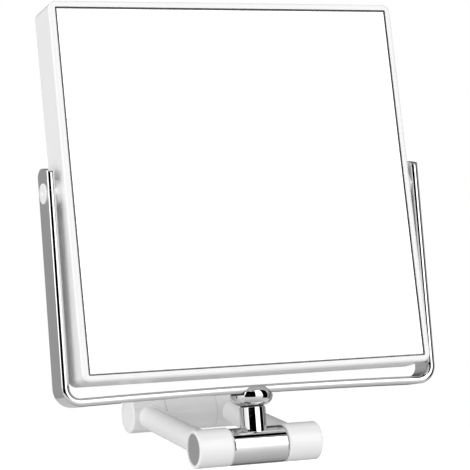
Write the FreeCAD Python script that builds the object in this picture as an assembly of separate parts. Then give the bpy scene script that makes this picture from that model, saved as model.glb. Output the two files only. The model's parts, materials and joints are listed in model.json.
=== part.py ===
"""Folding magnifying mirror held on a wall.

A square double-sided mirror tilts in a chrome fork. The fork swivels on a short post, the post's
sleeve folds on the front hinge of a two-tube arm, and the arm folds on a hinge at the wall.

Millimetres. The origin is at the middle of the wall face, +Z is up, and the user stands at -Y.
"""
import FreeCAD, Part
import math
import os

V = FreeCAD.Vector

# Rest pose, in degrees from upright
yoke_lean = 13.1
mirror_lean = 16.8

# Fits shared by all pieces
running_clearance = 0.05
face_play = 0.05
thread_play = 0.15
overrun = 1.0

# Arm tubes, and the pins and bushes of the arm's two hinges
arm_length = 96.5
tube_spacing = 50.6
tube_radius = 6.8
tube_wall = 1.5
tube_floor = 2.0
axle_radius = 3.0
bush_wall = 1.15
bush_length = 9.0
bush_flange_reach = 1.8
bush_flange_thickness = 0.8

# Hinge barrels and their end caps
barrel_radius = 10.25
barrel_edge = 1.0
barrel_inner_edge = 0.5
barrel_outer_margin = 3.3
rear_inner_margin = 2.75
front_inner_margin = 2.0
cap_rim = 1.85
cap_thickness = 1.5
cap_recess = 0.3
cap_edge = 0.4
friction_washer_inset = 0.3
friction_washer_thickness = 0.5

# Wall bracket and its hidden plate
wall_hole_spacing = 30.0
wall_hole_radius = 2.2
wall_sink_radius = 4.0
wall_sink_depth = 2.0
plate_end = 7.5
plate_height = 9.4
plate_thickness = 4.0
plate_corner = 1.5
plate_play = 0.15
base_end_wall = 5.5
base_side_wall = 2.3
base_front_wall = 2.6
base_edge = 1.6
base_gap = 0.65
neck_step = 1.5
grub_radius = 1.5
grub_recess = 0.3
grub_socket = 0.75
grub_socket_depth = 1.2

# Sleeve and post
sleeve_step = 0.35
sleeve_drop = 0.4
sleeve_edge = 1.1
post_radius = 7.0
post_length = 10.55
post_edge = 0.4
spigot_radius = 3.6
spigot_floor = 1.4
stem_radius = 3.5
stem_floor = 1.15
stem_groove_depth = 1.0
stem_groove_width = 3.4
stem_groove_share = 0.55

# Swivel head
head_lobe = 2.95
head_lower_height = 5.25
head_upper_height = 6.4
slot_depth = 5.85
slot_shoulder = 0.5
slot_pad_thickness = 0.8
slot_pad_inset = 0.5
swivel_washer_inset = 0.8
swivel_washer_thickness = 0.6

# Yoke
side_gap = 3.7
turning_room = 3.7
strip_width = 16.9
strip_thickness = 4.15
strip_crown = 1.0
strip_edge = 0.45
yoke_corner = 10.0
yoke_bow = 1.1
yoke_bow_pieces = 12
yoke_end_above = 13.1
yoke_end_slant = 12.0
yoke_end_front_corner = 2.8
yoke_end_back_corner = 7.0
yoke_end_spare = 0.15
yoke_end_edge = 0.3
yoke_screw_spacing = 10.4
yoke_screw_radius = 1.5
yoke_screw_head_radius = 2.8
yoke_screw_head_depth = 1.5
yoke_screw_floor = 1.65

# Mirror housing
housing_size = 200.0
housing_corner = 4.5
housing_edge = 1.5
housing_wall = 2.2
rim_width = 3.3
rim_lip = 0.5
bezel_depth = 3.1
bezel_skirt = 4.2
seal_show = 0.38
rear_seal_width = 1.1
rear_seal_height = 0.5
sharp_corner = 0.8

# Glasses and what lies between them, from front to back
glass_play = 0.3
glass_thickness = 3.0
bevel_width = 1.95
bevel_depth = 1.08
front_pad_thickness = 0.65
front_pad_margin = 8.0
core_thickness = 2.0
core_margin = 0.4
rear_pad_thickness = 7.45
rear_pad_radius = 40.0
magnifier_thickness = 2.5
magnifier_dish = 7.9

# Pivots between mirror and yoke
boss_radius = 5.45
boss_collar_step = 1.75
boss_proud = 0.6
boss_edge = 0.5
boss_dimple_radius = 1.5
boss_dimple_depth = 0.6
tail_radius = 2.6
pivot_block_depth = 8.0
pivot_block_height = 12.0
pivot_block_play = 0.4
pivot_washer_thickness = 0.6
pivot_screw_radius = 1.25
pivot_screw_head_radius = 3.0
pivot_screw_head_height = 1.8

# Hinges, worked out from the sizes above
full_turn = 360.0
tube_seat = axle_radius + tube_floor
bush_radius = axle_radius + running_clearance + bush_wall
bush_flange_radius = bush_radius + bush_flange_reach
rear_section_start = tube_spacing / 2 - tube_radius - rear_inner_margin
front_section_start = tube_spacing / 2 - tube_radius - front_inner_margin
knuckle_half = rear_section_start - friction_washer_thickness - face_play
sleeve_half = front_section_start - friction_washer_thickness - face_play
hinge_half = tube_spacing / 2 + tube_radius + barrel_outer_margin
cap_radius = barrel_radius - cap_rim
cap_seat = hinge_half - cap_thickness - cap_recess
friction_washer_radius = barrel_radius - friction_washer_inset

# Wall bracket, worked out
plate_width = wall_hole_spacing + 2 * plate_end
base_width = plate_width + 2 * base_end_wall
base_height = plate_height + 2 * base_side_wall
base_depth = plate_thickness + base_front_wall
neck_height = base_height - 2 * neck_step
wall_standoff = base_depth + base_gap + barrel_radius

# Mirror, worked out about its middle
half = housing_size / 2
sandwich_front = glass_thickness + front_pad_thickness + core_thickness
sandwich_back = rear_pad_thickness + magnifier_thickness + magnifier_dish
housing_depth = rim_lip + sandwich_front + sandwich_back + rim_lip
front_face = -housing_depth / 2
back_face = housing_depth / 2
cavity_half = half - housing_wall
opening_half = half - rim_width
glass_half = cavity_half - glass_play
glass_front = front_face + rim_lip
bevel_foot = glass_front + bevel_depth
glass_back = glass_front + glass_thickness
core_front = glass_back + front_pad_thickness
core_back = core_front + core_thickness
bezel_joint = back_face - bezel_depth
glass_corner_reach = math.sqrt(2.0) * (glass_half - sharp_corner) + sharp_corner
magnifier_radius = (glass_corner_reach ** 2 + magnifier_dish ** 2) / (2 * magnifier_dish)
magnifier_back_radius = magnifier_radius + magnifier_thickness
magnifier_centre = V(0, back_face - rim_lip - magnifier_dish + magnifier_radius, 0)

# Post, head and yoke, worked out from the front hinge axis up
sleeve_radius = barrel_radius - sleeve_step
sleeve_top = sleeve_radius - sleeve_drop
stem_bottom = sleeve_top + stem_floor
post_top = sleeve_top + post_length
groove_height = stem_bottom + (post_top - stem_bottom) * stem_groove_share
swivel_washer_radius = post_radius - swivel_washer_inset
head_bottom = post_top + face_play + swivel_washer_thickness
head_radius = strip_width / 2 + head_lobe
head_middle_height = head_bottom + head_lower_height
head_top = head_middle_height + head_upper_height
slot_floor_height = head_top - slot_depth
bar_seat_height = slot_floor_height + slot_pad_thickness
yoke_screw_length = strip_thickness - face_play + bar_seat_height - head_bottom - yoke_screw_floor
trunnion_height = head_top + turning_room + math.hypot(half, housing_depth / 2)
yoke_inner = half + side_gap
yoke_half = yoke_inner + strip_thickness
yoke_top = trunnion_height + yoke_end_above
strip_start = yoke_top + strip_width / 2

# Pivots, worked out from the mirror's middle
boss_collar_radius = boss_radius + boss_collar_step
boss_end = yoke_half + boss_proud
dimple_ball_radius = (boss_dimple_radius ** 2 + boss_dimple_depth ** 2) / (2 * boss_dimple_depth)
collar_end = yoke_inner - face_play - pivot_washer_thickness
tail_end = cavity_half - pivot_block_depth
pivot_screw_length = boss_end - boss_dimple_depth - tail_end
magnifier_reach = math.sqrt(magnifier_back_radius ** 2 - tail_end ** 2)
pivot_block_back = magnifier_centre.y - magnifier_reach - pivot_block_play


def span(side, near, far):
    """The lower and higher X of a stretch that lies on one side of the middle."""
    return sorted((side * near, side * far))


def cylinder_x(radius, x0, x1, y=0, z=0):
    return Part.makeCylinder(radius, x1 - x0, V(x0, y, z), V(1, 0, 0))


def cylinder_y(radius, y0, y1, x=0, z=0):
    return Part.makeCylinder(radius, y1 - y0, V(x, y0, z), V(0, 1, 0))


def cylinder_z(radius, z0, z1, x=0, y=0):
    return Part.makeCylinder(radius, z1 - z0, V(x, y, z0), V(0, 0, 1))


def ring_x(outer, inner, x0, x1):
    return cylinder_x(outer, x0, x1).cut(cylinder_x(inner, x0 - overrun, x1 + overrun))


def block(x0, x1, y0, y1, z0, z1):
    return Part.makeBox(x1 - x0, y1 - y0, z1 - z0, V(x0, y0, z0))


def plate_y(width, height, corner, y0, y1):
    """A plate across Y with rounded corners."""
    plate = block(-width / 2, width / 2, y0, y1, -height / 2, height / 2)
    through = [e for e in plate.Edges if e.BoundBox.YLength > e.BoundBox.XLength + e.BoundBox.ZLength]
    return plate.makeFillet(corner, through)


def square_plate(half_size, corner, y0, y1):
    return plate_y(2 * half_size, 2 * half_size, corner, y0, y1)


def square_wire(half_size, y):
    ways = ((-1, -1), (1, -1), (1, 1), (-1, 1), (-1, -1))
    return Part.makePolygon([V(x * half_size, y, z * half_size) for x, z in ways])


def edges_on(shape, axis, place):
    """The edges that lie whole on one plane across an axis."""
    found = []
    for edge in shape.Edges:
        box = edge.BoundBox
        low, high = {"x": (box.XMin, box.XMax), "y": (box.YMin, box.YMax), "z": (box.ZMin, box.ZMax)}[axis]
        if max(abs(low - place), abs(high - place)) < face_play:
            found.append(edge)
    return found


def round_rim(shape, axis, place, radius, circle_radius):
    """Rounds the circular edges of one radius on one end face."""
    rims = [
        e for e in edges_on(shape, axis, place)
        if isinstance(e.Curve, Part.Circle) and abs(e.Curve.Radius - circle_radius) < face_play
    ]
    return shape.makeFillet(radius, rims)


def sharp_edges(shape, least_degrees=30.0):
    """The edges where two faces meet at an angle, leaving out smooth joins."""
    found = []
    for edge in shape.Edges:
        faces = shape.ancestorsOfType(edge, Part.Face)
        if len(faces) != 2:
            continue
        middle = edge.valueAt((edge.FirstParameter + edge.LastParameter) / 2)
        normals = [f.normalAt(*f.Surface.parameter(middle)) for f in faces]
        if math.degrees(normals[0].getAngle(normals[1])) > least_degrees:
            found.append(edge)
    return found


def hexagon_z(radius, z0, z1):
    """A six-sided socket along Z."""
    turns = [math.radians(full_turn * k / 6) for k in range(7)]
    corners = [V(radius * math.cos(t), radius * math.sin(t), z0) for t in turns]
    return Part.Face(Part.makePolygon(corners)).extrude(V(0, 0, z1 - z0))


def grub_screw(length):
    """A headless screw along Z with its socket at the bottom and its tip at the top, at z 0."""
    body = cylinder_z(grub_radius, -length, 0)
    return body.cut(hexagon_z(grub_socket, -length - overrun, -length + grub_socket_depth))


def countersunk_screw(radius, head_radius, head_depth, length):
    """A flat-headed screw along Z, its head's face at z 0."""
    shank = cylinder_z(radius, -length, -head_depth)
    head = Part.makeCone(radius, head_radius, head_depth, V(0, 0, -head_depth))
    return shank.fuse(head).removeSplitter()


def magnifier_ball(radius):
    """A ball about the magnifying glass's centre of curvature."""
    return Part.makeSphere(radius, magnifier_centre)


# Wall bracket

def make_wall_plate():
    plate = plate_y(plate_width, plate_height, plate_corner, -plate_thickness, 0)
    for side in (-1, 1):
        x = side * wall_hole_spacing / 2
        mouth = V(x, -plate_thickness, 0)
        sink = Part.makeCone(wall_sink_radius, wall_hole_radius, wall_sink_depth, mouth, V(0, 1, 0))
        plate = plate.cut(cylinder_y(wall_hole_radius, -plate_thickness - overrun, overrun, x)).cut(sink)
    return plate


def make_wall_bracket():
    base = plate_y(base_width, base_height, base_edge, -base_depth, 0)
    base = base.makeFillet(base_edge, edges_on(base, "y", -base_depth))
    neck_half = neck_height / 2
    neck = block(-knuckle_half, knuckle_half, -wall_standoff, -base_depth / 2, -neck_half, neck_half)
    knuckle = cylinder_x(barrel_radius, -knuckle_half, knuckle_half, -wall_standoff)
    bracket = base.fuse([neck, knuckle]).removeSplitter()
    pocket = block(
        -plate_width / 2 - plate_play, plate_width / 2 + plate_play,
        -plate_thickness - plate_play, overrun,
        -plate_height / 2 - plate_play, plate_height / 2 + plate_play,
    )
    hole_bottom, hole_top = -base_height / 2 - overrun, -plate_height / 2
    screw_hole = cylinder_z(grub_radius, hole_bottom, hole_top, 0, -plate_thickness / 2)
    bracket = bracket.cut([pocket, screw_hole])
    return cut_bush_seats(bracket, knuckle_half, -wall_standoff)


def make_bracket_grub_screw():
    screw = grub_screw(base_height / 2 - grub_recess - plate_height / 2)
    screw.translate(V(0, -plate_thickness / 2, -plate_height / 2))
    return screw


# Hinge pieces, each about an axis along X

def cut_bush_seats(middle, middle_half, y=0):
    """The bore and the flange recesses for the two bushes of a middle section."""
    bores = [cylinder_x(bush_radius, -middle_half - overrun, middle_half + overrun, y)]
    for side in (-1, 1):
        low, high = span(side, middle_half - bush_flange_thickness, middle_half + overrun)
        bores.append(cylinder_x(bush_flange_radius, low, high, y))
    return middle.cut(bores)


def make_bush(side, middle_half):
    low, high = span(side, middle_half - bush_length, middle_half)
    flange_low, flange_high = span(side, middle_half - bush_flange_thickness, middle_half)
    tube = cylinder_x(bush_radius, low, high).fuse(cylinder_x(bush_flange_radius, flange_low, flange_high))
    bore = cylinder_x(axle_radius + running_clearance, low - overrun, high + overrun)
    return tube.cut(bore).removeSplitter()


def make_barrel(side, arm_way, section_start):
    """One end section of a hinge barrel, with the socket for its arm tube on the arm's side."""
    low, high = span(side, section_start, hinge_half)
    barrel = cylinder_x(barrel_radius, low, high)
    barrel = round_rim(barrel, "x", side * hinge_half, barrel_edge, barrel_radius)
    barrel = round_rim(barrel, "x", side * section_start, barrel_inner_edge, barrel_radius)
    bore = cylinder_x(axle_radius, low - overrun, high + overrun)
    seat_low, seat_high = span(side, cap_seat, hinge_half + overrun)
    seat = cylinder_x(cap_radius, seat_low, seat_high)
    y0, y1 = sorted((arm_way * tube_seat, arm_way * (barrel_radius + overrun)))
    socket = cylinder_y(tube_radius, y0, y1, side * tube_spacing / 2)
    return barrel.cut([bore, seat, socket])


def make_cap(side):
    low, high = span(side, cap_seat, cap_seat + cap_thickness)
    radius = cap_radius - face_play
    disc = cylinder_x(radius, low, high)
    return round_rim(disc, "x", side * (cap_seat + cap_thickness), cap_edge, radius)


def make_axle():
    return cylinder_x(axle_radius, -cap_seat, cap_seat)


def make_friction_washers(middle_half):
    washers = []
    for side in (-1, 1):
        start = middle_half + face_play
        low, high = span(side, start, start + friction_washer_thickness)
        washers.append(ring_x(friction_washer_radius, axle_radius + face_play, low, high))
    return Part.makeCompound(washers)


def make_arm_tube(side):
    """A tube from the rear hinge, at y 0, to the front hinge."""
    x = side * tube_spacing / 2
    y0, y1 = tube_seat - arm_length, -tube_seat
    bore = cylinder_y(tube_radius - tube_wall, y0 - overrun, y1 + overrun, x)
    return cylinder_y(tube_radius, y0, y1, x).cut(bore)


# Sleeve and post, about the front hinge, with the post along Z

def make_pivot_sleeve():
    """The sleeve's outside sits a little lower than its pin."""
    sleeve = cylinder_x(sleeve_radius, -sleeve_half, sleeve_half, 0, -sleeve_drop)
    for side in (-1, 1):
        sleeve = round_rim(sleeve, "x", side * sleeve_half, sleeve_edge, sleeve_radius)
    spigot_hole = cylinder_z(spigot_radius, bush_radius + spigot_floor, sleeve_radius + overrun)
    return cut_bush_seats(sleeve, sleeve_half).cut(spigot_hole)


def make_post():
    shaft = cylinder_z(post_radius, 0, post_top)
    shaft = round_rim(shaft, "z", post_top, post_edge, post_radius)
    shaft = shaft.cut(cylinder_x(sleeve_radius, -sleeve_half, sleeve_half, 0, -sleeve_drop))
    spigot = cylinder_z(spigot_radius, bush_radius + spigot_floor, sleeve_top)
    shaft = shaft.fuse(spigot).removeSplitter()
    bore = cylinder_z(stem_radius + running_clearance, stem_bottom - face_play, post_top + overrun)
    screw_hole = cylinder_y(grub_radius, 0, post_radius + overrun, 0, groove_height)
    return shaft.cut([bore, screw_hole])


def make_swivel_grub_screw():
    tip = stem_radius - stem_groove_depth + thread_play
    screw = grub_screw(post_radius - grub_recess - tip)
    screw.rotate(V(0, 0, 0), V(1, 0, 0), full_turn / 4)
    screw.translate(V(0, tip, groove_height))
    return screw


# Swivel head and yoke, about the front hinge, with the post along Z

def make_swivel_head(yoke):
    """A slotted round head, widest below its middle, on a stem that turns in the post."""
    low, high, middle = head_bottom, head_top, head_middle_height
    under, over = head_radius - head_lower_height, head_radius - head_upper_height
    curve_share = math.sqrt(0.5)
    low_curve = V(under + head_lower_height * curve_share, 0, middle - head_lower_height * curve_share)
    high_curve = V(over + head_upper_height * curve_share, 0, middle + head_upper_height * curve_share)
    profile = Part.Wire([
        Part.makeLine(V(0, 0, low), V(under, 0, low)),
        Part.Arc(V(under, 0, low), low_curve, V(head_radius, 0, middle)).toShape(),
        Part.Arc(V(head_radius, 0, middle), high_curve, V(over, 0, high)).toShape(),
        Part.makeLine(V(over, 0, high), V(0, 0, high)),
        Part.makeLine(V(0, 0, high), V(0, 0, low)),
    ])
    head = Part.Face(profile).revolve(V(0, 0, 0), V(0, 0, 1), full_turn)
    slot_half = strip_width / 2 + face_play
    slot = block(-head_radius, head_radius, -slot_half, slot_half, slot_floor_height, high + overrun)
    head = head.cut(slot).Solids[0]
    shoulders = [e for e in edges_on(head, "z", slot_floor_height) if not isinstance(e.Curve, Part.Line)]
    head = head.makeFillet(slot_shoulder, shoulders)
    stem = cylinder_z(stem_radius, stem_bottom, middle)
    groove_low = groove_height - stem_groove_width / 2
    groove_high = groove_low + stem_groove_width
    groove_core = cylinder_z(stem_radius - stem_groove_depth, groove_low, groove_high)
    groove = cylinder_z(stem_radius + overrun, groove_low, groove_high).cut(groove_core)
    holes = [screw_place(side, cylinder_z(yoke_screw_radius, -yoke_screw_length, 0)) for side in (-1, 1)]
    head = head.fuse(stem).removeSplitter()
    for tool in holes + [groove, yoke]:
        head = head.cut(tool)
    return head


def make_slot_pad(yoke):
    """A thin pad between the slot's floor and the yoke's bar."""
    low, high = slot_floor_height, bar_seat_height
    reach = head_radius - slot_pad_inset
    side = strip_width / 2 - strip_crown
    pad = cylinder_z(reach, low, high).common(block(-reach, reach, -side, side, low, high))
    holes = [screw_place(side, cylinder_z(yoke_screw_radius, -yoke_screw_length, 0)) for side in (-1, 1)]
    for tool in holes + [yoke]:
        pad = pad.cut(tool)
    return pad


def make_swivel_washer():
    low = post_top + face_play
    high = low + swivel_washer_thickness
    inner = cylinder_z(stem_radius + face_play, low - overrun, high + overrun)
    return cylinder_z(swivel_washer_radius, low, high).cut(inner)


def yoke_path():
    """The bent strip's middle line, from above its left end to above its right, in smooth short pieces."""
    bend = 2 * math.atan(yoke_bow / (yoke_half - yoke_corner))
    bow_radius = (yoke_half - yoke_corner * (1 + math.sin(bend))) / math.sin(bend)
    bow_middle = bar_seat_height - bow_radius
    corner_x = yoke_half - yoke_corner
    corner_height = bow_middle + (bow_radius + yoke_corner) * math.cos(bend)
    inner_radius = yoke_corner - strip_thickness / 2
    outer_radius = bow_radius + strip_thickness / 2
    turns = [math.pi, math.pi + (math.pi / 2 + bend) / 2, 1.5 * math.pi + bend]
    left = [V(inner_radius * math.cos(t) - corner_x, 0, inner_radius * math.sin(t)) for t in turns]
    left = [p + V(0, 0, corner_height) for p in left]
    right = [V(-p.x, 0, p.z) for p in reversed(left)]
    turns = [bend * (k / yoke_bow_pieces - 1) for k in range(2 * yoke_bow_pieces + 1)]
    bow = [V(outer_radius * math.sin(t), 0, bow_middle + outer_radius * math.cos(t)) for t in turns]
    start, end = [V(p.x, 0, strip_start) for p in (left[0], right[2])]
    return Part.Wire([
        Part.makeLine(start, left[0]),
        Part.Arc(*left).toShape(),
        *(Part.Arc(*bow[2 * k:2 * k + 3]).toShape() for k in range(yoke_bow_pieces)),
        Part.Arc(*right).toShape(),
        Part.makeLine(right[2], end),
    ])


def strip_section():
    """The strip's cross-section above its left end: flat sides, crowned edges and rounded corners."""
    crown_radius = (strip_thickness ** 2 / 4 + strip_crown ** 2) / (2 * strip_crown)
    crown_middle = strip_width / 2 - crown_radius
    across = strip_thickness / 2 - strip_edge
    along = crown_middle + math.sqrt((crown_radius - strip_edge) ** 2 - across ** 2)
    slant = math.atan2(along - crown_middle, across)

    def place(x_way, y_way, x, y):
        return V(-yoke_half + strip_thickness / 2 + x_way * x, y_way * y, strip_start)

    flat_end = (strip_thickness / 2, along)
    corner = (across + strip_edge * math.cos(slant / 2), along + strip_edge * math.sin(slant / 2))
    crown_end = (crown_radius * math.cos(slant), crown_middle + crown_radius * math.sin(slant))
    edges = []
    for way in (-1, 1):
        edges.append(Part.makeLine(place(way, -1, *flat_end), place(way, 1, *flat_end)))
        crown = (place(-1, way, *crown_end), place(1, way, 0, strip_width / 2), place(1, way, *crown_end))
        edges.append(Part.Arc(*crown).toShape())
        for other_way in (-1, 1):
            corner_arc = [place(way, other_way, *p) for p in (flat_end, corner, crown_end)]
            edges.append(Part.Arc(*corner_arc).toShape())
    return Part.Wire(Part.__sortEdges__(edges))


def yoke_end_room():
    """The space that the strip's upper ends are trimmed to, with their slanted tops and rounded corners."""
    reach = strip_width / 2 + yoke_end_spare
    far = yoke_half + overrun
    slant = reach * math.tan(math.radians(yoke_end_slant))
    corners = [(-reach, 0), (reach, 0), (reach, yoke_top + slant), (-reach, yoke_top - slant), (-reach, 0)]
    room = Part.Face(Part.makePolygon([V(-far, y, z) for y, z in corners])).extrude(V(2 * far, 0, 0))
    for y, corner in ((-reach, yoke_end_front_corner), (reach, yoke_end_back_corner)):
        rims = [e for e in edges_on(room, "y", y) if e.BoundBox.ZMin > trunnion_height]
        room = room.makeFillet(corner, rims)
    return room


def make_yoke():
    strip = yoke_path().makePipeShell([strip_section()], True, True).common(yoke_end_room())
    strip = strip.makeFillet(yoke_end_edge, sharp_edges(strip))
    hole_end = yoke_half + overrun
    pivot_hole = cylinder_x(boss_radius + running_clearance, -hole_end, hole_end, 0, trunnion_height)
    screws = [screw_place(side, make_yoke_screw()) for side in (-1, 1)]
    return strip.cut([pivot_hole] + screws)


def make_yoke_screw():
    return countersunk_screw(
        yoke_screw_radius, yoke_screw_head_radius, yoke_screw_head_depth, yoke_screw_length
    )


def screw_place(side, piece):
    """Puts a piece of a yoke screw, head face at z 0, where the screw sits in the bar."""
    piece.translate(V(side * yoke_screw_spacing / 2, 0, bar_seat_height + strip_thickness - face_play))
    return piece


# Mirror, about the pivots' axis along X, with the front glass towards -Y

def make_mirror_housing():
    shell = square_plate(half, housing_corner, front_face, bezel_joint)
    shell = shell.makeFillet(housing_edge, edges_on(shell, "y", front_face))
    cavity = square_plate(cavity_half, sharp_corner, glass_front, bezel_joint + overrun)
    opening = square_plate(opening_half, sharp_corner, front_face - overrun, glass_front + overrun)
    rebate_half = half - housing_wall / 2
    rebate = square_plate(rebate_half, sharp_corner, bezel_joint - bezel_skirt, bezel_joint + overrun)
    shell = shell.cut([cavity, opening, rebate])
    for side in (-1, 1):
        low, high = span(side, tail_end, half - housing_wall / 2)
        low_z, high_z = -pivot_block_height / 2, pivot_block_height / 2
        shell = shell.fuse(block(low, high, core_back, pivot_block_back, low_z, high_z)).removeSplitter()
        low, high = span(side, tail_end - overrun, half + overrun)
        shell = shell.cut(cylinder_x(tail_radius, low, high))
    return shell


def make_rear_bezel():
    rim = square_plate(half, housing_corner, bezel_joint, back_face)
    rim = rim.makeFillet(housing_edge, edges_on(rim, "y", back_face))
    skirt_half = half - housing_wall / 2 - face_play
    skirt_edge = bezel_joint - bezel_skirt
    skirt = square_plate(skirt_half, sharp_corner, skirt_edge, bezel_joint)
    opening = square_plate(opening_half, sharp_corner, skirt_edge - overrun, back_face + overrun)
    glass_space = square_plate(cavity_half, sharp_corner, 0, back_face)
    glass_space = glass_space.cut(magnifier_ball(magnifier_radius))
    return rim.fuse(skirt).removeSplitter().cut([opening, glass_space])


def front_glass_slopes():
    """The space inside the front glass's bevelled and square sides."""
    places = ((glass_half - bevel_width, glass_front), (glass_half, bevel_foot), (glass_half, glass_back))
    return Part.makeLoft([square_wire(*place) for place in places], True, True)


def make_front_glass():
    return square_plate(glass_half, sharp_corner, glass_front, glass_back).common(front_glass_slopes())


def make_magnifying_glass():
    blank = square_plate(glass_half, sharp_corner, core_back, back_face)
    outer = magnifier_ball(magnifier_back_radius)
    return blank.common(outer).cut(magnifier_ball(magnifier_radius))


def make_front_seal():
    """A wedge-shaped gasket between the housing's lip and the front glass's bevel."""
    outer = square_plate(glass_half, sharp_corner, glass_front, bevel_foot)
    inner = square_plate(opening_half - seal_show, sharp_corner, front_face, glass_back)
    return outer.cut([inner, front_glass_slopes()])


def make_rear_seal():
    outer = square_plate(opening_half, sharp_corner, 0, back_face)
    inner = square_plate(opening_half - rear_seal_width, sharp_corner, -overrun, back_face + overrun)
    ring = outer.cut(inner).common(magnifier_ball(magnifier_radius))
    return ring.cut(magnifier_ball(magnifier_radius - rear_seal_height))


def make_front_pad():
    return square_plate(glass_half - front_pad_margin, sharp_corner, glass_back, core_front)


def make_core_panel():
    return square_plate(cavity_half - core_margin, sharp_corner, core_front, core_back)


def make_rear_pad():
    pad = cylinder_y(rear_pad_radius, core_back, back_face)
    return pad.cut(magnifier_ball(magnifier_back_radius))


def make_pivot_boss(side):
    """A stub that turns in the yoke's end, with a collar on the housing and a tail through its wall."""
    stub = cylinder_x(boss_radius, *span(side, half, boss_end))
    stub = round_rim(stub, "x", side * boss_end, boss_edge, boss_radius)
    collar = cylinder_x(boss_collar_radius, *span(side, half, collar_end))
    tail = cylinder_x(tail_radius, *span(side, tail_end, half + overrun))
    dimple_middle = V(side * (boss_end - boss_dimple_depth + dimple_ball_radius), 0, 0)
    dimple = Part.makeSphere(dimple_ball_radius, dimple_middle)
    screw_tip = tail_end + pivot_screw_length
    screw_hole = cylinder_x(pivot_screw_radius, *span(side, tail_end - overrun, screw_tip))
    return stub.fuse([collar, tail]).removeSplitter().cut([dimple, screw_hole])


def make_pivot_screws():
    screws = []
    for side in (-1, 1):
        head_face = tail_end - pivot_screw_head_height
        head = cylinder_x(pivot_screw_head_radius, *span(side, head_face, tail_end))
        shank = cylinder_x(pivot_screw_radius, *span(side, tail_end, tail_end + pivot_screw_length))
        screws.append(head.fuse(shank).removeSplitter())
    return Part.makeCompound(screws)


def make_pivot_washers():
    washers = []
    for side in (-1, 1):
        low, high = span(side, collar_end, collar_end + pivot_washer_thickness)
        washers.append(ring_x(boss_collar_radius, boss_radius + face_play, low, high))
    return Part.makeCompound(washers)


# Assembly at the rest pose

def rest_frames():
    """Where each group of pieces, built about its own axis, sits at rest."""
    back_turn = V(1, 0, 0)
    rear = FreeCAD.Placement(V(0, -wall_standoff, 0), FreeCAD.Rotation())
    hinge_place = V(0, -wall_standoff - arm_length, 0)
    front = FreeCAD.Placement(hinge_place, FreeCAD.Rotation())
    post = FreeCAD.Placement(hinge_place, FreeCAD.Rotation(back_turn, -yoke_lean))
    pivot_place = post.multVec(V(0, 0, trunnion_height))
    mirror = FreeCAD.Placement(pivot_place, FreeCAD.Rotation(back_turn, -mirror_lean))
    return {"wall": FreeCAD.Placement(), "rear": rear, "front": front, "post": post, "mirror": mirror}


def sides(name, make):
    return {name + "_left": make(-1), name + "_right": make(1)}


def build():
    """Every piece by its frame and its name."""
    yoke = make_yoke()
    yoke_screws = Part.makeCompound([screw_place(side, make_yoke_screw()) for side in (-1, 1)])
    return {
        "wall": {
            "wall_plate": make_wall_plate(),
            "wall_bracket": make_wall_bracket(),
            "bracket_grub_screw": make_bracket_grub_screw(),
        },
        "rear": {
            **sides("rear_bush", lambda side: make_bush(side, knuckle_half)),
            **sides("rear_barrel", lambda side: make_barrel(side, -1, rear_section_start)),
            **sides("rear_cap", make_cap),
            **sides("arm_tube", make_arm_tube),
            "rear_axle": make_axle(),
            "rear_friction_washers": make_friction_washers(knuckle_half),
        },
        "front": {
            **sides("front_barrel", lambda side: make_barrel(side, 1, front_section_start)),
            **sides("front_cap", make_cap),
            "front_axle": make_axle(),
            "front_friction_washers": make_friction_washers(sleeve_half),
        },
        "post": {
            "pivot_sleeve": make_pivot_sleeve(),
            **sides("sleeve_bush", lambda side: make_bush(side, sleeve_half)),
            "post": make_post(),
            "swivel_grub_screw": make_swivel_grub_screw(),
            "swivel_head": make_swivel_head(yoke),
            "slot_pad": make_slot_pad(yoke),
            "swivel_washer": make_swivel_washer(),
            "yoke": yoke,
            "yoke_screws": yoke_screws,
        },
        "mirror": {
            "mirror_housing": make_mirror_housing(),
            "rear_bezel": make_rear_bezel(),
            "front_glass": make_front_glass(),
            "magnifying_glass": make_magnifying_glass(),
            "front_seal": make_front_seal(),
            "rear_seal": make_rear_seal(),
            "front_pad": make_front_pad(),
            "rear_pad": make_rear_pad(),
            "core_panel": make_core_panel(),
            **sides("pivot_boss", make_pivot_boss),
            "pivot_screws": make_pivot_screws(),
            "pivot_washers": make_pivot_washers(),
        },
    }


def main():
    os.makedirs("parts", exist_ok=True)
    frames = rest_frames()
    for frame, pieces in build().items():
        for name, shape in pieces.items():
            shape.Placement = frames[frame].multiply(shape.Placement)
            shape.exportStep(f"parts/{name}.step")
            print(f"{name}: {len(shape.Solids)} solids, {shape.Volume:.1f} mm3, valid {shape.isValid()}")


main()
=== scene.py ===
"""Finishes, studio light and camera for the folding wall mirror. Metres, in the part's own frame."""
import json
import math

import bpy
from mathutils import Matrix, Vector

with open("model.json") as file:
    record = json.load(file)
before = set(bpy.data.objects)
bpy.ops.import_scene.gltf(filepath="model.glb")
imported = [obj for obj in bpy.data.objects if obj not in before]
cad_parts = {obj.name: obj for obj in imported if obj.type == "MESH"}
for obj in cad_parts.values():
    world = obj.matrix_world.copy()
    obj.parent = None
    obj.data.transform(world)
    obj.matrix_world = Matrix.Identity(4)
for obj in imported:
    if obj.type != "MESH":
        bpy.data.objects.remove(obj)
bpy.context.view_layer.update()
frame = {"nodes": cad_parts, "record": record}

nodes = frame["nodes"]

# Camera, as the photograph was taken: its place, its angles in degrees, its sensor and lens in millimetres
camera_place = Vector((-0.45593, -1.11630, 0.23548))
camera_azimuth = 23.826
camera_elevation = 6.418
camera_roll = 0.816
sensor_width = 36.0
lens_length = 162.08
farthest_seen = 100.0

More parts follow.
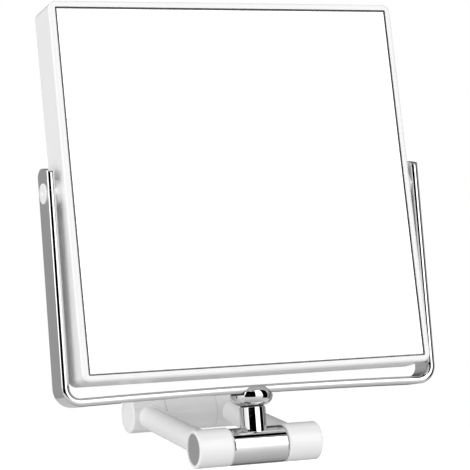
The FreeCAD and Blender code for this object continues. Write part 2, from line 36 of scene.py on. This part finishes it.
# Studio as the bright metal sees it. Places are in degrees: azimuth from the camera's side, positive to the
# camera's right, and height. A level follows each place, and each blur is for azimuth, then for height.
wall_levels = (
    (-180.0, 0.08), (-165.0, 0.10), (-150.0, 0.28), (-135.0, 0.37), (-100.0, 0.44), (-89.0, 0.52),
    (-79.0, 2.0), (101.0, 2.0),
    (106.0, 0.38), (135.0, 0.37), (150.0, 0.28), (165.0, 0.10), (180.0, 0.08),
)
ground_levels = (
    (-90.0, 0.40), (-65.0, 0.45), (-47.0, 0.535), (-30.0, 0.62), (-12.0, 0.78), (-3.0, 0.94),
    (6.0, 1.2), (9.0, 2.0), (90.0, 2.0),
)
lens_gap = (-34.0, 23.0)
lens_gap_heights = (-6.0, 50.0)
lens_gap_blur = (4.0, 6.0)
dark_bands = ((-87.0, -80.0, 1.0), (67.0, 100.0, 1.0), (104.0, 128.0, 0.5))
dark_bands_heights = (-20.0, 54.0)
dark_bands_blur = (3.0, 6.0)
ceiling_start = 56.0
ceiling_reach = 104.0
ceiling_blur = (4.0, 2.0)
pale_back_level = 0.58
pale_back_ends = (-138.0, 160.0)
pale_back_heights = (-36.0, -20.0)
pale_back_blur = (8.0, 10.0)
backdrop_level = 1.0

# Soft light on the plastic: broad and narrow lamps, each with its azimuth, height and level
broad_lamps = (
    (-45.0, 10.0, 1.50), (-135.0, 10.0, 0.27), (180.0, 10.0, 0.99), (90.0, 10.0, 1.64), (45.0, 10.0, 0.14),
    (0.0, 90.0, 0.45), (0.0, -90.0, 0.54),
)
broad_spread = (25.0, 65.0)
narrow_lamps = ((-60.0, 15.0, 0.23), (-40.0, 15.0, 1.82), (-15.0, 15.0, 2.42))
narrow_spread = (5.0, 22.0)

# Floor, well below the lowest reach of the folded arm
floor_height = -0.5
floor_half = 2.0
floor_shade = 0.8
floor_roughness = 0.8
floor_glow = 0.6

# Hairline scratches: the turns of their two directions, and how far each is drawn out
scratch_turns = (0.5, 2.1)
scratch_scale = (60.0, 2600.0, 2600.0)

# Open cells of the foam pads
foam_cell_size = 1 / 1200
foam_cell_depth = 0.0003


# Helpers for node trees

def feed(tree, socket, value):
    """Sets a socket to a value, or links it to another socket."""
    if isinstance(value, bpy.types.NodeSocket):
        tree.links.new(value, socket)
    else:
        socket.default_value = value


def add_node(tree, kind, **inputs):
    """A node with its inputs set by name, each to a value or linked to a socket."""
    node = tree.nodes.new(kind)
    for name, value in inputs.items():
        feed(tree, node.inputs[name.replace("_", " ")], value)
    return node


def sums(tree, operation, *terms):
    """The result of one sum; each term is a socket or a number."""
    node = tree.nodes.new("ShaderNodeMath")
    node.operation = operation
    for socket, term in zip(node.inputs, terms):
        feed(tree, socket, term)
    return node.outputs[0]


def rise(tree, value, low, high):
    """Rises smoothly from 0 to 1 as a value goes from low to high."""
    node = add_node(tree, "ShaderNodeMapRange", Value=value, From_Min=low, From_Max=high)
    node.interpolation_type = "SMOOTHSTEP"
    return node.outputs["Result"]


def within(tree, value, low, high, blur):
    """1 between low and high, and 0 outside, with blurred ends."""
    return sums(tree, "SUBTRACT", rise(tree, value, low - blur, low), rise(tree, value, high, high + blur))


def levels(tree, value, stops):
    """A level that runs straight between stops, each a value and its level."""
    low, high = stops[0][0], stops[-1][0]
    share = add_node(tree, "ShaderNodeMapRange", Value=value, From_Min=low, From_Max=high).outputs["Result"]
    node = add_node(tree, "ShaderNodeValToRGB", Fac=share)
    points = node.color_ramp.elements
    while len(points) < len(stops):
        points.new(0.5)
    for point, (place, level) in zip(points, stops):
        point.position = (place - low) / (high - low)
        point.color = (level, level, level, 1.0)
    return node.outputs["Color"]


def choose(tree, share, first, second):
    """Runs from a first number to a second as a share goes from 0 to 1."""
    node = tree.nodes.new("ShaderNodeMix")
    node.data_type = "FLOAT"
    for socket, value in zip((node.inputs[0], node.inputs[2], node.inputs[3]), (share, first, second)):
        feed(tree, socket, value)
    return node.outputs[0]


# Studio

def patch(tree, azimuth, height, reach, heights, blur):
    """1 inside a patch of the studio and 0 outside, with blurred edges."""
    aside = within(tree, azimuth, *reach, blur[0])
    return sums(tree, "MULTIPLY", aside, within(tree, height, *heights, blur[1]))


def studio_walls(tree, azimuth, height):
    """What bright metal mirrors: white walls, dark bands, a gap for the lens, a dark top, grey behind."""
    gap = patch(tree, azimuth, height, lens_gap, lens_gap_heights, lens_gap_blur)
    top = rise(tree, height, ceiling_start - ceiling_blur[1], ceiling_start + ceiling_blur[1])
    top_reach = within(tree, azimuth, -ceiling_reach, ceiling_reach, ceiling_blur[0])
    dark = sums(tree, "MAXIMUM", gap, sums(tree, "MULTIPLY", top, top_reach))
    for low, high, depth in dark_bands:
        band = patch(tree, azimuth, height, (low, high), dark_bands_heights, dark_bands_blur)
        dark = sums(tree, "MAXIMUM", dark, sums(tree, "MULTIPLY", band, depth))
    walls = sums(tree, "MULTIPLY", levels(tree, azimuth, wall_levels), sums(tree, "SUBTRACT", 1.0, dark))

    front = within(tree, azimuth, *pale_back_ends, pale_back_blur[0])
    low_band = within(tree, height, *pale_back_heights, pale_back_blur[1])
    back = sums(tree, "MULTIPLY", low_band, sums(tree, "SUBTRACT", 1.0, front))
    walls = sums(tree, "MAXIMUM", walls, sums(tree, "MULTIPLY", back, pale_back_level))
    return sums(tree, "MINIMUM", walls, levels(tree, height, ground_levels))


def studio_lamps(tree, way):
    """What lights the plastic: all lamps added up, each fading away round its own direction."""
    light = 0.0
    for lamps, spread in ((broad_lamps, broad_spread), (narrow_lamps, narrow_spread)):
        for lamp_azimuth, lamp_height, level in lamps:
            aside, above = math.radians(lamp_azimuth), math.radians(lamp_height)
            facing = tree.nodes.new("ShaderNodeVectorMath")
            facing.operation = "DOT_PRODUCT"
            feed(tree, facing.inputs[0], way)
            facing.inputs[1].default_value = (
                math.sin(aside) * math.cos(above),
                -math.cos(aside) * math.cos(above),
                math.sin(above),
            )
            off_lamp = sums(tree, "DEGREES", sums(tree, "ARCCOSINE", facing.outputs["Value"]))
            share = sums(tree, "SUBTRACT", 1.0, rise(tree, off_lamp, *spread))
            light = sums(tree, "ADD", light, sums(tree, "MULTIPLY", share, level))
    return light


def studio_world():
    """A white backdrop for the camera, walls for what is mirrored and lamps for the rest."""
    world = bpy.data.worlds.new("studio")
    bpy.context.scene.world = world
    world.use_nodes = True
    tree = world.node_tree
    tree.nodes.clear()
    outward = tree.nodes.new("ShaderNodeTexCoord").outputs["Generated"]
    turn = add_node(tree, "ShaderNodeMapping", Vector=outward)
    turn.vector_type = "VECTOR"
    turn.inputs["Rotation"].default_value = (0.0, 0.0, math.radians(camera_azimuth))
    way = turn.outputs["Vector"]
    parts = add_node(tree, "ShaderNodeSeparateXYZ", Vector=way).outputs
    to_camera = sums(tree, "MULTIPLY", parts["Y"], -1.0)
    azimuth = sums(tree, "DEGREES", sums(tree, "ARCTAN2", parts["X"], to_camera))
    height = sums(tree, "DEGREES", sums(tree, "ARCSINE", parts["Z"]))

    path = tree.nodes.new("ShaderNodeLightPath").outputs
    walls, lamps = studio_walls(tree, azimuth, height), studio_lamps(tree, way)
    lit = choose(tree, path["Is Glossy Ray"], lamps, walls)
    seen = choose(tree, path["Is Camera Ray"], lit, backdrop_level)
    background = add_node(tree, "ShaderNodeBackground", Color=seen)
    add_node(tree, "ShaderNodeOutputWorld", Surface=background.outputs["Background"])


def studio_floor():
    """A pale floor that is seen, but leaves the light to the studio."""
    bpy.ops.object.select_all(action="DESELECT")
    bpy.ops.mesh.primitive_plane_add(size=2 * floor_half, location=(0, 0, floor_height))
    floor = bpy.context.object
    floor.name = "studio_floor"
    material = bpy.data.materials.new("pale_floor")
    material.use_nodes = True
    shader = material.node_tree.nodes["Principled BSDF"]
    shader.inputs["Base Color"].default_value = grey(floor_shade)
    shader.inputs["Roughness"].default_value = floor_roughness
    shader.inputs["Emission Color"].default_value = grey(1.0)
    shader.inputs["Emission Strength"].default_value = floor_glow
    material.cycles.emission_sampling = "NONE"
    floor.data.materials.append(material)
    floor.visible_glossy = False
    floor.visible_diffuse = False
    floor.visible_shadow = False


def studio_camera():
    """The photograph's camera: turned to its azimuth and elevation, then rolled about its view."""
    data = bpy.data.cameras.new("photo_camera")
    data.sensor_width = sensor_width
    data.lens = lens_length
    data.clip_end = farthest_seen
    camera = bpy.data.objects.new("photo_camera", data)
    bpy.context.scene.collection.objects.link(camera)
    azimuth, elevation, roll = (math.radians(a) for a in (camera_azimuth, camera_elevation, camera_roll))
    view = Vector((
        math.sin(azimuth) * math.cos(elevation),
        math.cos(azimuth) * math.cos(elevation),
        -math.sin(elevation),
    ))
    level_right = Vector((math.cos(azimuth), -math.sin(azimuth), 0))
    level_up = level_right.cross(view)
    right = level_right * math.cos(roll) + level_up * math.sin(roll)
    up = right.cross(view)
    turn = Matrix((right, up, -view)).transposed()
    camera.matrix_world = Matrix.Translation(camera_place) @ turn.to_4x4()
    bpy.context.scene.camera = camera


# Effects that several finishes share

def effect(name, ins, outs):
    """An empty node group with its sockets, its input node's outputs and its output node's inputs."""
    tree = bpy.data.node_groups.new(name, "ShaderNodeTree")
    for way, sockets in (("INPUT", ins), ("OUTPUT", outs)):
        for socket, kind in sockets.items():
            tree.interface.new_socket(socket, in_out=way, socket_type="NodeSocket" + kind)
    start = tree.nodes.new("NodeGroupInput").outputs
    end = tree.nodes.new("NodeGroupOutput").inputs
    return tree, start, end


def noise(tree, place, scale, detail, roughness=0.5):
    """Soft noise between 0 and 1."""
    node = add_node(tree, "ShaderNodeTexNoise", Vector=place, Scale=scale, Detail=detail)
    feed(tree, node.inputs["Roughness"], roughness)
    return node.outputs["Fac"]


def make_tone_drift():
    """Two close shades that drift into each other in soft clouds."""
    ins = {"Place": "Vector", "Size": "Float", "Shade": "Color", "Other Shade": "Color"}
    tree, start, end = effect("tone_drift", ins, {"Colour": "Color"})
    scale = sums(tree, "DIVIDE", 1.0, start["Size"])
    clouds = rise(tree, noise(tree, start["Place"], scale, 3.0), 0.3, 0.7)
    mix = tree.nodes.new("ShaderNodeMix")
    mix.data_type = "RGBA"
    feed(tree, mix.inputs[0], clouds)
    feed(tree, mix.inputs[6], start["Shade"])
    feed(tree, mix.inputs[7], start["Other Shade"])
    feed(tree, end["Colour"], mix.outputs[2])
    return tree


def make_handling_marks():
    """Roughness with soft smudges and fine hairline scratches in two directions."""
    ins = {name: "Float" for name in ("Smudge Size", "Clean", "Marked", "Scratch")}
    tree, start, end = effect("handling_marks", {"Place": "Vector", **ins}, {"Roughness": "Float"})
    scale = sums(tree, "DIVIDE", 1.0, start["Smudge Size"])
    smudge = rise(tree, noise(tree, start["Place"], scale, 4.0, 0.6), 0.42, 0.72)
    lines = []
    for turn in scratch_turns:
        mapping = add_node(tree, "ShaderNodeMapping", Vector=start["Place"])
        mapping.inputs["Rotation"].default_value = (turn, turn / 2, turn * 2)
        mapping.inputs["Scale"].default_value = scratch_scale
        lines.append(rise(tree, noise(tree, mapping.outputs["Vector"], 1.0, 1.0), 0.70, 0.76))
    hairlines = sums(tree, "MULTIPLY", sums(tree, "MAXIMUM", *lines), start["Scratch"])
    rough = choose(tree, smudge, start["Clean"], start["Marked"])
    feed(tree, end["Roughness"], sums(tree, "ADD", rough, hairlines))
    return tree


def make_moulded_skin():
    """The height of a moulded surface: a slow ripple with a fine grain on it."""
    ins = {"Place": "Vector", "Ripple Size": "Float", "Grain Size": "Float", "Grain": "Float"}
    tree, start, end = effect("moulded_skin", ins, {"Height": "Float"})
    ripple = noise(tree, start["Place"], sums(tree, "DIVIDE", 1.0, start["Ripple Size"]), 1.0)
    grain = noise(tree, start["Place"], sums(tree, "DIVIDE", 1.0, start["Grain Size"]), 3.0)
    feed(tree, end["Height"], choose(tree, start["Grain"], ripple, grain))
    return tree


tone_drift = make_tone_drift()
handling_marks = make_handling_marks()
moulded_skin = make_moulded_skin()


# Finishes

def grey(level, blue=0.0):
    """A grey, with a little blue in it where the finish is cool."""
    return (level, level, level + blue, 1.0)


def add_effect(tree, group, place, **values):
    """A node group in a finish, with its own values."""
    node = tree.nodes.new("ShaderNodeGroup")
    node.node_tree = group
    feed(tree, node.inputs["Place"], place)
    for name, value in values.items():
        node.inputs[name.replace("_", " ")].default_value = value
    return node.outputs[0]


def add_bump(tree, shader, height, distance):
    """Presses a height into a finish, by a distance in metres."""
    bump = add_node(tree, "ShaderNodeBump", Strength=1.0, Distance=distance, Height=height)
    feed(tree, shader.inputs["Normal"], bump.outputs["Normal"])


def own_place(tree):
    """The part's own coordinates in a finish."""
    return tree.nodes.new("ShaderNodeTexCoord").outputs["Object"]


def finish(name, tone, marks, skin=None, skin_depth=0.0, metallic=0.0):
    """A material on the part's own coordinates, with its tone, its marks and its skin if it has one."""
    material = bpy.data.materials.new(name)
    material.use_nodes = True
    tree = material.node_tree
    shader = tree.nodes["Principled BSDF"]
    place = own_place(tree)
    feed(tree, shader.inputs["Base Color"], add_effect(tree, tone_drift, place, **tone))
    feed(tree, shader.inputs["Roughness"], add_effect(tree, handling_marks, place, **marks))
    shader.inputs["Metallic"].default_value = metallic
    if skin:
        add_bump(tree, shader, add_effect(tree, moulded_skin, place, **skin), skin_depth)
    return material


def white_plastic():
    return finish(
        "white_plastic",
        tone=dict(Size=0.03, Shade=grey(0.855, 0.004), Other_Shade=grey(0.87, 0.002)),
        marks=dict(Smudge_Size=0.02, Clean=0.16, Marked=0.22, Scratch=0.06),
        skin=dict(Ripple_Size=0.004, Grain_Size=0.0006, Grain=0.25), skin_depth=0.00002,
    )


def bright_chrome():
    return finish(
        "bright_chrome", metallic=1.0,
        tone=dict(Size=0.02, Shade=grey(0.79, 0.012), Other_Shade=grey(0.82, 0.006)),
        marks=dict(Smudge_Size=0.012, Clean=0.015, Marked=0.045, Scratch=0.05),
        skin=dict(Ripple_Size=0.006, Grain_Size=0.001, Grain=0.05), skin_depth=0.000004,
    )


def silvered_glass():
    """Glass that mirrors most of what it faces, under a faint veil."""
    return finish(
        "silvered_glass", metallic=0.78,
        tone=dict(Size=0.08, Shade=grey(0.925, 0.004), Other_Shade=grey(0.94, 0.002)),
        marks=dict(Smudge_Size=0.03, Clean=0.004, Marked=0.012, Scratch=0.01),
    )


def zinc_steel():
    return finish(
        "zinc_steel", metallic=1.0,
        tone=dict(Size=0.0035, Shade=grey(0.52, 0.012), Other_Shade=grey(0.66, 0.006)),
        marks=dict(Smudge_Size=0.004, Clean=0.26, Marked=0.4, Scratch=0.12),
        skin=dict(Ripple_Size=0.0016, Grain_Size=0.0003, Grain=0.6), skin_depth=0.00002,
    )


def white_nylon():
    return finish(
        "white_nylon",
        tone=dict(Size=0.006, Shade=(0.78, 0.775, 0.76, 1), Other_Shade=(0.81, 0.805, 0.79, 1)),
        marks=dict(Smudge_Size=0.005, Clean=0.38, Marked=0.5, Scratch=0.05),
        skin=dict(Ripple_Size=0.002, Grain_Size=0.0004, Grain=0.5), skin_depth=0.00002,
    )


# Near-black finish for the thin seal round the glass. The seal is a real part, but its black is also
# painted shade: it stands in for the shadow gap between the rim and the glass.
def seal_and_gap_shade():
    return finish(
        "seal_and_gap_shade",
        tone=dict(Size=0.004, Shade=grey(0.012), Other_Shade=grey(0.028)),
        marks=dict(Smudge_Size=0.006, Clean=0.5, Marked=0.68, Scratch=0.0),
        skin=dict(Ripple_Size=0.003, Grain_Size=0.0003, Grain=0.6), skin_depth=0.00003,
    )


def grey_foam():
    """Foam with open cells pressed into it."""
    material = finish(
        "grey_foam",
        tone=dict(Size=0.003, Shade=grey(0.10, 0.006), Other_Shade=grey(0.17, 0.006)),
        marks=dict(Smudge_Size=0.006, Clean=0.85, Marked=0.95, Scratch=0.0),
    )
    tree = material.node_tree
    cells = add_node(tree, "ShaderNodeTexVoronoi", Vector=own_place(tree), Scale=1.0 / foam_cell_size)
    add_bump(tree, tree.nodes["Principled BSDF"], cells.outputs["Distance"], foam_cell_depth)
    return material


def moulded_board():
    return finish(
        "moulded_board",
        tone=dict(Size=0.01, Shade=grey(0.5, 0.006), Other_Shade=grey(0.58, 0.006)),
        marks=dict(Smudge_Size=0.01, Clean=0.5, Marked=0.62, Scratch=0.05),
        skin=dict(Ripple_Size=0.003, Grain_Size=0.0005, Grain=0.7), skin_depth=0.00006,
    )


finishes = {
    "white_plastic": white_plastic(),
    "chrome": bright_chrome(),
    "silvered_glass": silvered_glass(),
    "steel": zinc_steel(),
    "nylon": white_nylon(),
    "seal": seal_and_gap_shade(),
    "foam": grey_foam(),
    "board": moulded_board(),
}
for subpart in frame["record"]["subparts"]:
    nodes[subpart["node"]].material_slots[0].material = finishes[subpart["material_slot"]]

studio_world()
studio_floor()
studio_camera()
bpy.context.scene.view_settings.view_transform = "Standard"
